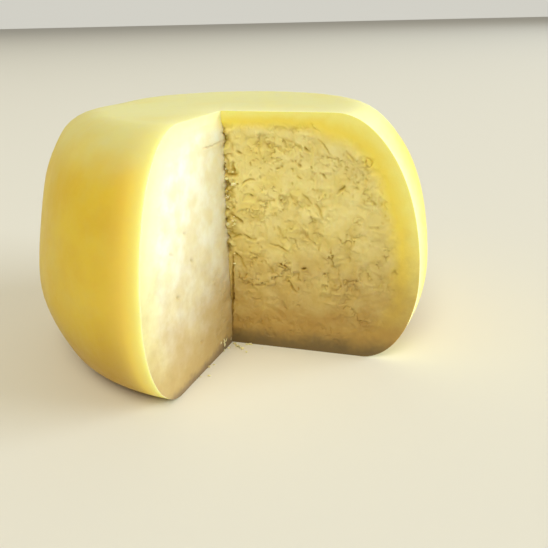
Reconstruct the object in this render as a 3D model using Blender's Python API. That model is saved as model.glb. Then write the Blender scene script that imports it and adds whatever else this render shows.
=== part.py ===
"""A small Edam cheese: a flattened ball with a natural yellow rind and a wedge of about a quarter cut out.

The cheese is one solid. It stands on its flat base, with the ball's upright axis on the Z axis and the base
at z = 0. The missing wedge opens towards -Y and +X. Both knife cuts start from one upright line, the cut
line, in front of the axis. The solid is an upright section swept round that line from the right cut to the
left one, so its first and last sections are the cut faces. A place on a cut is given by its distance from
the cut line and its height. All lengths are in metres.
"""

import math
from collections import namedtuple

import bmesh
import bpy
import numpy as np
from mathutils import Matrix, Vector, geometry, noise

# The ball: flat on top and below, and widest a third of the way up, where its own weight has spread it.
HEIGHT = 0.095
GIRTH_RADIUS = 0.0796
GIRTH_HEIGHT = 0.034
TOP_FLAT_RADIUS = 0.048
BASE_FLAT_RADIUS = 0.0595
ROUNDNESS = 0.5523  # the length of Bezier handles that draws a quarter of an ellipse

# The two knife cuts.
CUT_LINE = Vector((-0.0019, -0.0175))
RIGHT_CUT_ANGLE = math.radians(-15.8)
LEFT_CUT_ANGLE = math.radians(247.7)

# Where the hand-turned ball isn't round: how far the side stands out there, round which angle and height,
# and how wide and tall the swelling is. A negative rise is a flattened place.
Swelling = namedtuple("Swelling", "rise angle height half_angle half_height")
SWELLINGS = (
    Swelling(rise=-0.0020, angle=200, height=0.058, half_angle=26, half_height=0.020),
    Swelling(rise=0.0018, angle=186, height=0.092, half_angle=14, half_height=0.006),
    Swelling(rise=-0.0040, angle=158, height=0.092, half_angle=18, half_height=0.010),
    Swelling(rise=-0.0012, angle=212, height=0.016, half_angle=20, half_height=0.012),
    Swelling(rise=-0.0008, angle=357, height=0.087, half_angle=25, half_height=0.008),
)
FOOT_HEIGHT = 0.012  # the swellings fade out below this height, so that the base keeps its round edge

# The rind stays smooth where it is cut, and the paste inside it is rough. Its foot is smooth too.
RIND_DEPTH = 0.0055
PASTE_DEPTH = 0.0095
FOOT_DEPTH = 0.008

# The lie of a cut: the knife's drift, ledges of torn paste, and curd grains pressed together.
DRIFT_HEIGHT = 0.0008
DRIFT_LENGTH = 0.034
LEDGE_HEIGHT = 0.0004
LEDGE_LENGTH = 0.013
LEDGES_EACH_WAY = 2.0
LEDGE_EDGE = 0.6  # the share of a ledge's run that is level
CURD_HEIGHT = 0.00022
CURD_SIZE = 0.0062
CURD_WARP = 0.3
CURD_BORDER = 0.3
GRAIN_MIX = 7.3  # spreads the grains' centres, so that each grain draws its own level

# The knife shaved off the ledges and grains above this level, and left a plateau there. The right cut was
# shaved lower at its foot, and is calmer there.
SHAVE_BLEND = 0.0003
RIGHT_SHAVE_LOW = -0.0004
RIGHT_SHAVE_HIGH = 0.0001
LEFT_SHAVE = -0.0010
CALM_BELOW = 0.012
ROUGH_ABOVE = 0.034
FOOT_TEARING = 0.65
LEFT_TEARING = 0.08

# Scars: where the blade dragged paste away, each scar starts at a sharp edge and runs out to the plane of
# the cut. size is how far apart the edges lie, and stretch, angle and wander are how they are drawn out.
# depth and scoop are the scar's own shape, and patch and share are where the scars lie.
Tear = namedtuple("Tear", "size stretch angle wander depth scoop patch share")
TEARS = (
    Tear(0.0058, stretch=1.7, angle=-48, wander=0.55, depth=0.0014, scoop=0.0018, patch=0.0065, share=0.48),
    Tear(0.0034, stretch=1.5, angle=-30, wander=0.60, depth=0.0011, scoop=0.0012, patch=0.0042, share=0.52),
)
TEAR_EDGE = 0.0006
WAVE_SLOPE = 0.7  # how far the noise that draws the edges moves them, as a share of their size
WANDER_SIZE = 0.4
PATCH_EDGE = 0.30
CALM_PATCH = 0.013  # the size of the patches that stay calm between the torn ones
CALM_LOW = -0.22
CALM_HIGH = 0.18
CALM_SHARE = 0.30

# Beside the cut line, where the two cuts met, the paste tore instead of being cut and stands up in lumps.
TORN_WIDTH = 0.0060
TORN_WANDER = 0.003
TORN_WANDER_LENGTH = 0.004
TORN_LIFT = 0.0008
TORN_LUMP = 0.0012
TORN_LUMP_LENGTH = 0.0045
TORN_CURDS = 2.0
RIGHT_SEED = 3.0
LEFT_SEED = 11.0

# The larger cracks of the right cut: two ends, and how far the crack bows upwards between them. The last is
# the slit where the knife ran past the cut line.
Crack = namedtuple("Crack", "start end bow width depth")
CRACKS = (
    Crack(start=(0.0170, 0.0450), end=(0.0262, 0.0413), bow=0.0003, width=0.0015, depth=0.0012),
    Crack(start=(0.0080, 0.0408), end=(0.0225, 0.0312), bow=0.0006, width=0.0016, depth=0.0014),
    Crack(start=(0.0240, 0.0312), end=(0.0290, 0.0250), bow=-0.0016, width=0.0016, depth=0.0015),
    Crack(start=(0.0352, 0.0620), end=(0.0382, 0.0555), bow=0.0003, width=0.0016, depth=0.0016),
    Crack(start=(0.0432, 0.0655), end=(0.0462, 0.0690), bow=0.0003, width=0.0015, depth=0.0014),
    Crack(start=(0.0010, 0.0560), end=(0.0068, 0.0518), bow=0.0010, width=0.0018, depth=0.0018),
    Crack(start=(0.0042, 0.0385), end=(0.0014, 0.0070), bow=-0.0010, width=0.0018, depth=0.0024),
)
CRACK_STEPS = 8

# Mesh density: sections round the ball, rows up it and columns across a cut face. Its cells are split again.
SECTIONS = 64
ROWS = 18
COLUMNS = 9
ROW_SPLITS = 3
RIGHT_COLUMN_SPLITS = 4
LEFT_COLUMN_SPLITS = 1
OUTLINE_POINTS = 240
NEAR_ZERO = 1e-6
SAME_ANGLE = 1e-3

RIND_YELLOW = (0.70, 0.50, 0.06, 1.0)
RIND_ROUGHNESS = 0.42
PASTE_CREAM = (0.80, 0.70, 0.36, 1.0)
PASTE_ROUGHNESS = 0.6
SHARP_ANGLE = math.radians(40)


def smooth_step(low, high, value):
    """0 below low, 1 above high, and a soft rise between them. It takes a number or an array."""
    share = np.clip((value - low) / (high - low), 0.0, 1.0)
    return share * share * (3.0 - 2.0 * share)


def direction(angle):
    return Vector((math.cos(angle), math.sin(angle)))


def quarter_ellipse(start, start_handle, end, end_handle):
    handle_a = start + start_handle * ROUNDNESS
    handle_b = end + end_handle * ROUNDNESS
    return list(geometry.interpolate_bezier(start, handle_a, handle_b, end, OUTLINE_POINTS))


def ball_outline():
    """Evenly spaced points (radius, height) up the ball's side, from the base's edge to the flat top's."""
    base = Vector((BASE_FLAT_RADIUS, 0.0))
    girth = Vector((GIRTH_RADIUS, GIRTH_HEIGHT))
    top = Vector((TOP_FLAT_RADIUS, HEIGHT))
    below = quarter_ellipse(base, Vector((girth.x - base.x, 0.0)), girth, Vector((0.0, -girth.y)))
    above = quarter_ellipse(girth, Vector((0.0, top.y - girth.y)), top, Vector((girth.x - top.x, 0.0)))
    points = np.array(below + above[1:])
    steps = np.hypot(*np.diff(points, axis=0).T)
    travelled = np.concatenate([[0.0], np.cumsum(steps)])
    even = np.linspace(0.0, travelled[-1], OUTLINE_POINTS + 1)
    return np.stack([np.interp(even, travelled, column) for column in points.T], axis=1)


def outline_at(outline, share):
    """The radius and height at a share of the way up the ball's side."""
    place = share * (len(outline) - 1)
    marks = np.arange(len(outline))
    return float(np.interp(place, marks, outline[:, 0])), float(np.interp(place, marks, outline[:, 1]))


def reach_to_circle(angle, radius):
    """The way from the cut line, towards angle, to a circle round the ball's axis."""
    along = CUT_LINE.dot(direction(angle))
    return -along + np.sqrt(along * along - CUT_LINE.length_squared + radius * radius)


def swell(angle, height):
    """How far the side stands out from the round ball."""
    total = 0.0
    for swelling in SWELLINGS:
        turn = (math.degrees(angle) - swelling.angle + 180) % 360 - 180
        aside = turn / swelling.half_angle
        above = (height - swelling.height) / swelling.half_height
        total += swelling.rise * math.exp(-aside * aside - above * above)
    return total * float(smooth_step(0.0, FOOT_HEIGHT, height))


def listed_once(items):
    """The items in the order they first come, so that every build goes through them alike."""
    return list(dict.fromkeys(items))


def put_in_order(bm):
    """Sorts the edges and the faces by their vertices, because a spin leaves them in no set order."""
    bm.verts.index_update()
    count = len(bm.verts)

    def first_vertices(item):
        indices = sorted(vert.index for vert in item.verts)
        third = indices[2] if len(indices) > 2 else 0
        return (indices[0] * count + indices[1]) * count + third

    bm.edges.sort(key=first_vertices)
    bm.faces.sort(key=first_vertices)


def sweep_section(bm):
    """A cylinder of height 1 and radius 1 without the wedge: a grid for each cut face, and the skin."""
    sweep = LEFT_CUT_ANGLE - RIGHT_CUT_ANGLE
    bmesh.ops.create_grid(bm, x_segments=COLUMNS, y_segments=ROWS, size=0.5)
    upright = Matrix.Rotation(math.radians(90), 4, "X") @ Matrix.Translation((0.5, 0.5, 0.0))
    bmesh.ops.transform(bm, matrix=upright, verts=bm.verts)
    first_section = list(bm.faces)
    last_section = bmesh.ops.duplicate(bm, geom=first_section)["geom"]
    last_verts = [item for item in last_section if isinstance(item, bmesh.types.BMVert)]
    bmesh.ops.rotate(bm, cent=(0, 0, 0), matrix=Matrix.Rotation(sweep, 3, "Z"), verts=last_verts)
    edges = listed_once(edge for face in first_section for edge in face.edges)
    rim = [edge for edge in edges if edge.is_boundary and max(vert.co.x for vert in edge.verts) > NEAR_ZERO]
    rim_verts = listed_once(vert for edge in rim for vert in edge.verts)
    bmesh.ops.spin(bm, geom=rim_verts + rim, cent=(0, 0, 0), axis=(0, 0, 1), angle=sweep, steps=SECTIONS)
    bmesh.ops.remove_doubles(bm, verts=bm.verts, dist=NEAR_ZERO)
    bmesh.ops.recalc_face_normals(bm, faces=bm.faces)
    put_in_order(bm)


def angle_of(co):
    """The angle round the cut line from the right cut, and 0 on the cut line itself."""
    if math.hypot(co.x, co.y) < NEAR_ZERO:
        return 0.0
    angle = math.atan2(co.y, co.x) % math.tau
    return 0.0 if angle > math.tau - SAME_ANGLE else angle


def find_cut_faces(bm):
    """The upright faces of the swept cylinder that lie in its first and its last section."""
    sweep = LEFT_CUT_ANGLE - RIGHT_CUT_ANGLE
    skin_sliver = 0.1 / COLUMNS / (RIGHT_COLUMN_SPLITS + 1)
    right, left = [], []
    for face in bm.faces:
        centre = face.calc_center_median()
        if abs(face.normal.z) > 0.5 or math.hypot(centre.x, centre.y) > 1.0 - skin_sliver:
            continue
        if angle_of(centre) < SAME_ANGLE:
            right.append(face)
        elif abs(angle_of(centre) - sweep) < SAME_ANGLE:
            left.append(face)
    return right, left


def is_upright(edge):
    return abs(edge.verts[0].co.z - edge.verts[1].co.z) > NEAR_ZERO


def split_cells(bm):
    """Finer cells on the cuts: their upright edges are split alike, and the level ones of each by itself."""
    right, left = find_cut_faces(bm)
    upright = listed_once(edge for face in right + left for edge in face.edges if is_upright(edge))
    bmesh.ops.subdivide_edges(bm, edges=upright, cuts=ROW_SPLITS, use_grid_fill=True)
    for side, splits in enumerate((RIGHT_COLUMN_SPLITS, LEFT_COLUMN_SPLITS)):
        faces = find_cut_faces(bm)[side]
        level = listed_once(edge for face in faces for edge in face.edges if not is_upright(edge))
        bmesh.ops.subdivide_edges(bm, edges=level, cuts=splits, use_grid_fill=True)


def shape_ball(bm, outline):
    """Moves each vertex to its place in the ball: {vertex: (distance from the cut line, height)}."""
    places = {}
    for vert in bm.verts:
        angle = RIGHT_CUT_ANGLE + angle_of(vert.co)
        out = math.hypot(vert.co.x, vert.co.y)
        radius, rim_height = outline_at(outline, vert.co.z)
        reach = float(reach_to_circle(angle, radius))
        rim = CUT_LINE + reach * direction(angle)
        reach += swell(math.atan2(rim.y, rim.x), rim_height)
        distance = out * reach
        level = vert.co.z * HEIGHT
        height = level + (rim_height - level) * out
        vert.co = (CUT_LINE + distance * direction(angle)).to_3d()
        vert.co.z = height
        places[vert] = (distance, height)
    return places


def noise_over(points, size, seed, stretch=1.0, angle=0.0):
    """Soft noise with features of one size, drawn out along an angle in degrees. Each seed gives its own."""
    turn = math.radians(angle)
    along = (points[:, 0] * math.cos(turn) + points[:, 1] * math.sin(turn)) / (size * stretch)
    across = (points[:, 1] * math.cos(turn) - points[:, 0] * math.sin(turn)) / size
    return np.array([noise.noise((a, b, seed)) for a, b in zip(along, across)])


def ledges_over(points, seed):
    """Steps of torn paste, one above the other."""
    waves = [noise.fractal((s / LEDGE_LENGTH, z / LEDGE_LENGTH, seed), 1.0, 2.0, 2) for s, z in points]
    waves = np.array(waves) * LEDGES_EACH_WAY
    return (np.floor(waves) + smooth_step(LEDGE_EDGE, 1.0, waves - np.floor(waves))) * LEDGE_HEIGHT


def curds_over(points, seed):
    """Curd grains pressed together, each with its own level."""
    warp_along = noise_over(points, CURD_SIZE, seed + 2.3) * CURD_WARP
    warp_up = noise_over(points, CURD_SIZE, seed + 4.1) * CURD_WARP
    relief = []
    for along, up in zip(points[:, 0] / CURD_SIZE + warp_along, points[:, 1] / CURD_SIZE + warp_up):
        distances, centres = noise.voronoi((along, up, seed))
        level = 2 * noise.cell(centres[0] * GRAIN_MIX) - 1
        relief.append(level * float(smooth_step(0.0, CURD_BORDER, distances[1] - distances[0])))
    return np.array(relief) * CURD_HEIGHT


def tears_over(points, tear, seed):
    """How deep the scars of one kind are."""
    wave = noise_over(points, tear.size, seed, tear.stretch, tear.angle)
    wave += tear.wander * noise_over(points, tear.size * WANDER_SIZE, seed + 1.7)
    away = wave * tear.size * WAVE_SLOPE
    patch = smooth_step(0.0, PATCH_EDGE, noise_over(points, tear.patch, seed + 3.1) + tear.share - 0.5)
    scar = (1.0 - smooth_step(-TEAR_EDGE, TEAR_EDGE, away)) * np.exp(-np.abs(away) / tear.scoop)
    return scar * patch * tear.depth


def crack_line(crack):
    """Points along a bowed crack."""
    start, end = Vector(crack.start), Vector(crack.end)
    points = []
    for i in range(CRACK_STEPS + 1):
        share = i / CRACK_STEPS
        bow = crack.bow * 4 * share * (1 - share)
        points.append(np.array(start.lerp(end, share) + Vector((0.0, bow))))
    return points


def crack_over(points, crack):
    """How deep one crack is at each point: its sides slope, and it runs out towards both ends."""
    deepest = np.zeros(len(points))
    line = crack_line(crack)
    for i, (a, b) in enumerate(zip(line, line[1:])):
        run = b - a
        share = np.clip((points - a) @ run / (run @ run), 0.0, 1.0)
        away = points - (a + share[:, None] * run)
        aside = np.hypot(away[:, 0], away[:, 1]) / crack.width
        along = (i + share) / CRACK_STEPS
        run_out = np.sqrt(np.clip(4 * along * (1 - along), 0.0, 1.0))
        deepest = np.maximum(deepest, run_out * np.exp(-(aside**2)))
    return deepest * crack.depth


def depth_over(points, angle, outline):
    """How far each point of a cut lies inside the ball's side and top."""
    rim = np.stack([reach_to_circle(angle, outline[:, 0]), outline[:, 1]], axis=1)
    away = points[:, None, :] - rim[None, :, :]
    nearest = np.sqrt((away**2).sum(axis=2)).min(axis=1)
    return np.minimum(nearest, HEIGHT - points[:, 1])


def soft_minimum(a, b, blend):
    """The smaller of two heights, with a rounded change from one to the other."""
    share = np.clip(0.5 + 0.5 * (b - a) / blend, 0.0, 1.0)
    return b + (a - b) * share - blend * share * (1.0 - share)


def right_cut(points):
    """(shave, tearing) of the right cut: torn above, and calmer at its foot."""
    upper = smooth_step(CALM_BELOW, ROUGH_ABOVE, points[:, 1])
    shave = RIGHT_SHAVE_LOW + (RIGHT_SHAVE_HIGH - RIGHT_SHAVE_LOW) * upper
    return shave, FOOT_TEARING + (1.0 - FOOT_TEARING) * upper


def left_cut(points):
    """(shave, tearing) of the left cut, which the knife left nearly smooth."""
    return np.full(len(points), LEFT_SHAVE), np.full(len(points), LEFT_TEARING)


def relief_over(points, depth, seed, shave, tearing, cracks):
    """How far each point stands out from the plane of its cut."""
    wandering = points[:, 0] + noise_over(points, TORN_WANDER_LENGTH, seed + 5) * TORN_WANDER
    torn = 1.0 - smooth_step(0.0, TORN_WIDTH, wandering)
    rough_patch = smooth_step(CALM_LOW, CALM_HIGH, noise_over(points, CALM_PATCH, seed + 13))
    tearing = np.maximum(tearing * (CALM_SHARE + (1.0 - CALM_SHARE) * rough_patch), torn)
    raw = ledges_over(points, seed) + curds_over(points, seed) * (1.0 + TORN_CURDS * torn)
    lumps = TORN_LIFT + TORN_LUMP * noise_over(points, TORN_LUMP_LENGTH, seed + 9)
    face = soft_minimum(raw, shave + torn * lumps, SHAVE_BLEND) - shave
    carved = np.zeros(len(points))
    for number, tear in enumerate(TEARS):
        carved = np.maximum(carved, tears_over(points, tear, seed + 10 * number) * tearing * (1.0 + torn))
    for crack in cracks:
        carved = np.maximum(carved, crack_over(points, crack))
    drift = noise_over(points, DRIFT_LENGTH, seed) * DRIFT_HEIGHT
    inside = smooth_step(RIND_DEPTH, PASTE_DEPTH, depth) * smooth_step(0.0, FOOT_DEPTH, points[:, 1])
    return (drift + face - carved) * inside


def carve_cuts(places, cut_faces, outline):
    """Relief on both cuts. On the cut line, which they share, their moves add up."""
    sides = (
        (RIGHT_CUT_ANGLE, 1, RIGHT_SEED, right_cut, CRACKS),
        (LEFT_CUT_ANGLE, -1, LEFT_SEED, left_cut, ()),
    )
    moves = []
    for faces, (angle, side, seed, cut_style, cracks) in zip(cut_faces, sides):
        verts = listed_once(vert for face in faces for vert in face.verts)
        points = np.array([places[vert] for vert in verts])
        depth = depth_over(points, angle, outline)
        relief = relief_over(points, depth, seed, *cut_style(points), cracks)
        outward = Vector((math.sin(angle), -math.cos(angle), 0.0)) * side
        moves.extend((vert, outward * float(rise)) for vert, rise in zip(verts, relief))
    for vert, move in moves:
        vert.co += move


def join_flat_faces(bm):
    """The flat base becomes one face, and so does the flat top."""
    for level in (0.0, HEIGHT):
        flat = [face for face in bm.faces if all(abs(vert.co.z - level) < NEAR_ZERO for vert in face.verts)]
        bmesh.ops.dissolve_faces(bm, faces=flat, use_verts=False)


def make_material(name, colour, roughness):
    material = bpy.data.materials.new(name)
    material.use_nodes = True
    shader = material.node_tree.nodes["Principled BSDF"]
    shader.inputs["Base Color"].default_value = colour
    shader.inputs["Roughness"].default_value = roughness
    shader.inputs["Metallic"].default_value = 0.0
    return material


def make_cheese():
    bm = bmesh.new()
    sweep_section(bm)
    split_cells(bm)
    cut_faces = find_cut_faces(bm)
    outline = ball_outline()
    places = shape_ball(bm, outline)
    carve_cuts(places, cut_faces, outline)
    for face in cut_faces[0] + cut_faces[1]:
        face.material_index = 1
    join_flat_faces(bm)
    bmesh.ops.triangulate(bm, faces=bm.faces, quad_method="BEAUTY", ngon_method="BEAUTY")
    mesh = bpy.data.meshes.new("cheese")
    bm.to_mesh(mesh)
    bm.free()
    mesh.materials.append(make_material("rind", RIND_YELLOW, RIND_ROUGHNESS))
    mesh.materials.append(make_material("paste", PASTE_CREAM, PASTE_ROUGHNESS))
    mesh.shade_smooth()
    mesh.set_sharp_from_angle(angle=SHARP_ANGLE)
    cheese = bpy.data.objects.new("cheese", mesh)
    bpy.context.scene.collection.objects.link(cheese)


def main():
    for old in list(bpy.data.objects):
        bpy.data.objects.remove(old)
    make_cheese()


main()
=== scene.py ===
import math
import random
from collections import namedtuple

import bmesh
import bpy
import numpy as np
from mathutils import Matrix, Vector, geometry, noise


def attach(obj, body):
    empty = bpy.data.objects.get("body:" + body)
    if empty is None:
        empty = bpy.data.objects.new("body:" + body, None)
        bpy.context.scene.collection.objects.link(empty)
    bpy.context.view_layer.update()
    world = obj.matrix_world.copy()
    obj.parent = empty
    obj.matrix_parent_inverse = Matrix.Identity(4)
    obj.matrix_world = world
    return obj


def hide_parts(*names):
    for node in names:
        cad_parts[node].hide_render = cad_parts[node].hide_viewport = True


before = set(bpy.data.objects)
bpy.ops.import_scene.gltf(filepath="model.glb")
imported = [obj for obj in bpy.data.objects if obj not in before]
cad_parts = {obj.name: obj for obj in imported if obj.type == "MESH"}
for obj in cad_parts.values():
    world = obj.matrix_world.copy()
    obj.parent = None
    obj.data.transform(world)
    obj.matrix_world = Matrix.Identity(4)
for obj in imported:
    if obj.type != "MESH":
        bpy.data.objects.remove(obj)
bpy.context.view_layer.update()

# Photographer's stand. The camera looks slightly down on the cheese from in front of the opening between its
# two cuts, a quarter of a metre away, and is tilted a little to one side, as in the photograph.
CAMERA_PLACE = Vector((0.0162, -0.2501, 0.1252))
CAMERA_PITCH = math.radians(22.19)
CAMERA_ROLL = math.radians(-1.31)
CAMERA_LENS_MM = 40.91
SENSOR_MM = 36.0
NEAREST_SEEN = 0.01


def add_object(name, data):
    """A new object in the scene, with a camera, a light or a mesh as its data."""
    item = bpy.data.objects.new(name, data)
    bpy.context.scene.collection.objects.link(item)
    return item


camera_data = bpy.data.cameras.new("camera")
camera_data.lens = CAMERA_LENS_MM
camera_data.sensor_width = SENSOR_MM
camera_data.clip_start = NEAREST_SEEN
camera = add_object("camera", camera_data)
level_view = Matrix.Rotation(math.radians(90) - CAMERA_PITCH, 4, "X")
camera.matrix_world = Matrix.Translation(CAMERA_PLACE) @ level_view @ Matrix.Rotation(CAMERA_ROLL, 4, "Z")
bpy.context.scene.camera = camera
bpy.context.scene.view_settings.view_transform = "Standard"

# Studio floor and light. A wide pale floor without shine, a large cool soft box low on the right that falls
# full on the left cut and only grazes the right one, a warm one high up in front, and white walls all round,
# the back one brightest.
FLOOR_SIZE = 60.0
FLOOR_COLOUR = (0.78, 0.75, 0.69, 1.0)
FLOOR_ROUGHNESS = 0.9
FLOOR_SHINE = 0.0
COOL_LIGHT = (0.79, 0.90, 1.0)
WARM_LIGHT = (1.0, 0.93, 0.68)
SoftBox = namedtuple("SoftBox", "name angle rise distance width tall power colour")
SOFT_BOXES = (
    SoftBox("key", angle=-1, rise=12, distance=8.4, width=6.0, tall=4.8, power=1026.0, colour=COOL_LIGHT),
    SoftBox("fill", angle=-100, rise=56, distance=9.6, width=4.8, tall=4.8, power=504.0, colour=WARM_LIGHT),
)
WALL_COLOUR = (1.0, 0.98, 0.88, 1.0)
WALL_LIGHT = 0.33
BACK_WALL_LIGHT = 0.65
BACK_WALL_FROM = 0.2  # how far back the walls begin to brighten, from 0 at the sides to 1 behind


def make_mesh(bm, name):
    """Turns a finished bmesh into mesh data."""
    mesh = bpy.data.meshes.new(name)
    bm.to_mesh(mesh)
    bm.free()
    return mesh


def new_material(name):
    """A new material and its Principled shader."""
    material = bpy.data.materials.new(name)
    material.use_nodes = True
    return material, material.node_tree.nodes["Principled BSDF"]


bm = bmesh.new()
bmesh.ops.create_grid(bm, x_segments=1, y_segments=1, size=FLOOR_SIZE / 2)
floor_mesh = make_mesh(bm, "floor")
floor_material, floor_shader = new_material("pale_floor")
floor_shader.inputs["Base Color"].default_value = FLOOR_COLOUR
floor_shader.inputs["Roughness"].default_value = FLOOR_ROUGHNESS
floor_shader.inputs["Specular IOR Level"].default_value = FLOOR_SHINE
floor_mesh.materials.append(floor_material)
floor = add_object("floor", floor_mesh)


def add_soft_box(box):
    """An area light that faces the cheese from its angle and height angle."""
    data = bpy.data.lights.new(box.name, "AREA")
    data.shape = "RECTANGLE"
    data.size = box.width
    data.size_y = box.tall
    data.energy = box.power
    data.color = box.colour
    light = add_object(box.name, data)
    around = Matrix.Rotation(math.radians(box.angle), 3, "Z")
    upwards = Matrix.Rotation(-math.radians(box.rise), 3, "Y")
    towards = around @ upwards @ Vector((1.0, 0.0, 0.0))
    light.location = towards * box.distance
    light.rotation_euler = towards.to_track_quat("Z", "Y").to_euler()


for box in SOFT_BOXES:
    add_soft_box(box)

world = bpy.data.worlds.new("white_walls")
world.use_nodes = True
tree = world.node_tree
tree.nodes["Background"].inputs["Color"].default_value = WALL_COLOUR
split = tree.nodes.new("ShaderNodeSeparateXYZ")
tree.links.new(tree.nodes.new("ShaderNodeTexCoord").outputs["Generated"], split.inputs[0])
brightness = tree.nodes.new("ShaderNodeMapRange")
brightness.interpolation_type = "SMOOTHSTEP"
brightness.inputs["From Min"].default_value = BACK_WALL_FROM
brightness.inputs["From Max"].default_value = 1.0
brightness.inputs["To Min"].default_value = WALL_LIGHT
brightness.inputs["To Max"].default_value = BACK_WALL_LIGHT
tree.links.new(split.outputs["Y"], brightness.inputs["Value"])
tree.links.new(brightness.outputs["Result"], tree.nodes["Background"].inputs["Strength"])
bpy.context.scene.world = world

# The ball. Pressed curd, turned by hand while it ripened, so it is flat below and on top, widest low down
# where it spread, and not quite round. About a quarter is cut out. The mesh is an upright section swept from
# the right cut round the back to the left one, and both cuts start from one upright line, the cut line.
HEIGHT = 0.095
GIRTH_RADIUS = 0.0796
GIRTH_HEIGHT = 0.034
TOP_FLAT_RADIUS = 0.048
BASE_FLAT_RADIUS = 0.0595
ROUNDNESS = 0.5523  # how far a curve's handles reach to its corner, as in a quarter circle
CUT_LINE = Vector((-0.0019, -0.0175))
RIGHT_CUT_ANGLE = math.radians(-15.8)
LEFT_CUT_ANGLE = math.radians(247.7)
Swelling = namedtuple("Swelling", "rise angle height half_angle half_height")
SWELLINGS = (
    Swelling(rise=-0.0020, angle=200, height=0.058, half_angle=26, half_height=0.020),
    Swelling(rise=0.0018, angle=186, height=0.092, half_angle=14, half_height=0.006),
    Swelling(rise=-0.0040, angle=158, height=0.092, half_angle=18, half_height=0.010),
    Swelling(rise=-0.0012, angle=212, height=0.016, half_angle=20, half_height=0.012),
    Swelling(rise=-0.0008, angle=357, height=0.087, half_angle=25, half_height=0.008),
)
EVEN_FOOT = 0.012  # the height over which the unevenness fades out at the base
RIND_WAVES = ((0.040, 0.00035), (0.014, 0.00012))  # (length, height) of the hand-made unevenness
SECTIONS = 110
ROWS = 40
COLUMNS = 28
ROW_SPLITS = 6
RIGHT_COLUMN_SPLITS = 6
LEFT_COLUMN_SPLITS = 2
OUTLINE_POINTS = 240
NEAR_ZERO = 1e-6
SAME_ANGLE = 1e-3
MERGE_DISTANCE = 1e-4  # the last turn of a sweep misses its end by a rounding error
LEVEL_NORMAL = 0.5  # a face whose normal is steeper than this lies on the top or the base
RIM_MARGIN = 0.1 / COLUMNS / (RIGHT_COLUMN_SPLITS + 1)  # a tenth of the narrowest cell


def smooth_step(low, high, value):
    """0 below low, 1 above high, and a soft rise between them. It takes a number or an array."""
    share = np.clip((value - low) / (high - low), 0.0, 1.0)
    return share * share * (3.0 - 2.0 * share)


def direction(angle):
    return Vector((math.cos(angle), math.sin(angle)))


def quarter_ellipse(start, start_handle, end, end_handle):
    handle_a = start + start_handle * ROUNDNESS
    handle_b = end + end_handle * ROUNDNESS
    return list(geometry.interpolate_bezier(start, handle_a, handle_b, end, OUTLINE_POINTS))


def ball_outline():
    """Evenly spaced points (radius, height) up the ball's side, from the base's edge to the flat top's."""
    base = Vector((BASE_FLAT_RADIUS, 0.0))
    girth = Vector((GIRTH_RADIUS, GIRTH_HEIGHT))
    top = Vector((TOP_FLAT_RADIUS, HEIGHT))
    below = quarter_ellipse(base, Vector((girth.x - base.x, 0.0)), girth, Vector((0.0, -girth.y)))
    above = quarter_ellipse(girth, Vector((0.0, top.y - girth.y)), top, Vector((girth.x - top.x, 0.0)))
    points = np.array(below + above[1:])
    steps = np.hypot(*np.diff(points, axis=0).T)
    travelled = np.concatenate([[0.0], np.cumsum(steps)])
    even = np.linspace(0.0, travelled[-1], OUTLINE_POINTS + 1)
    return np.stack([np.interp(even, travelled, points[:, axis]) for axis in (0, 1)], axis=1)


def outline_at(outline, share):
    """(radius, height) at a share of the way up the side."""
    place = share * (len(outline) - 1)
    marks = np.arange(len(outline))
    return float(np.interp(place, marks, outline[:, 0])), float(np.interp(place, marks, outline[:, 1]))


def reach_to_circle(angle, radius):
    """The way from the cut line, towards angle, to a circle round the ball's axis."""
    along = CUT_LINE.dot(direction(angle))
    return -along + np.sqrt(along * along - CUT_LINE.length_squared + radius * radius)


def swell(angle, height):
    """How far the side stands out from the round ball."""
    total = 0.0
    for swelling in SWELLINGS:
        turn = (math.degrees(angle) - swelling.angle + 180) % 360 - 180
        aside = turn / swelling.half_angle
        above = (height - swelling.height) / swelling.half_height
        total += swelling.rise * math.exp(-aside * aside - above * above)
    return total * float(smooth_step(0.0, EVEN_FOOT, height))


def listed_once(items):
    """The items in the order they first come, so that every run goes through them alike."""
    return list(dict.fromkeys(items))


def put_in_order(bm):
    """Sorts the edges and the faces by their vertices, because a spin leaves them in no set order."""
    bm.verts.index_update()
    count = len(bm.verts)

    def first_vertices(item):
        indices = sorted(vert.index for vert in item.verts)
        third = indices[2] if len(indices) > 2 else 0
        return (indices[0] * count + indices[1]) * count + third

    bm.edges.sort(key=first_vertices)
    bm.faces.sort(key=first_vertices)


def sweep_section(bm):
    """A cylinder of height 1 and radius 1, open between the cuts: a grid for each cut, and the skin."""
    sweep = LEFT_CUT_ANGLE - RIGHT_CUT_ANGLE
    bmesh.ops.create_grid(bm, x_segments=COLUMNS, y_segments=ROWS, size=0.5)
    upright = Matrix.Rotation(math.radians(90), 4, "X") @ Matrix.Translation((0.5, 0.5, 0.0))
    bmesh.ops.transform(bm, matrix=upright, verts=bm.verts)
    first_section = list(bm.faces)
    last_section = bmesh.ops.duplicate(bm, geom=first_section)["geom"]
    last_verts = [item for item in last_section if isinstance(item, bmesh.types.BMVert)]
    bmesh.ops.rotate(bm, cent=(0, 0, 0), matrix=Matrix.Rotation(sweep, 3, "Z"), verts=last_verts)
    edges = listed_once(edge for face in first_section for edge in face.edges)
    rim = [edge for edge in edges if edge.is_boundary and max(vert.co.x for vert in edge.verts) > NEAR_ZERO]
    rim_verts = listed_once(vert for edge in rim for vert in edge.verts)
    bmesh.ops.spin(bm, geom=rim_verts + rim, cent=(0, 0, 0), axis=(0, 0, 1), angle=sweep, steps=SECTIONS)
    bmesh.ops.remove_doubles(bm, verts=bm.verts, dist=MERGE_DISTANCE)
    bmesh.ops.recalc_face_normals(bm, faces=bm.faces)
    put_in_order(bm)


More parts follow.
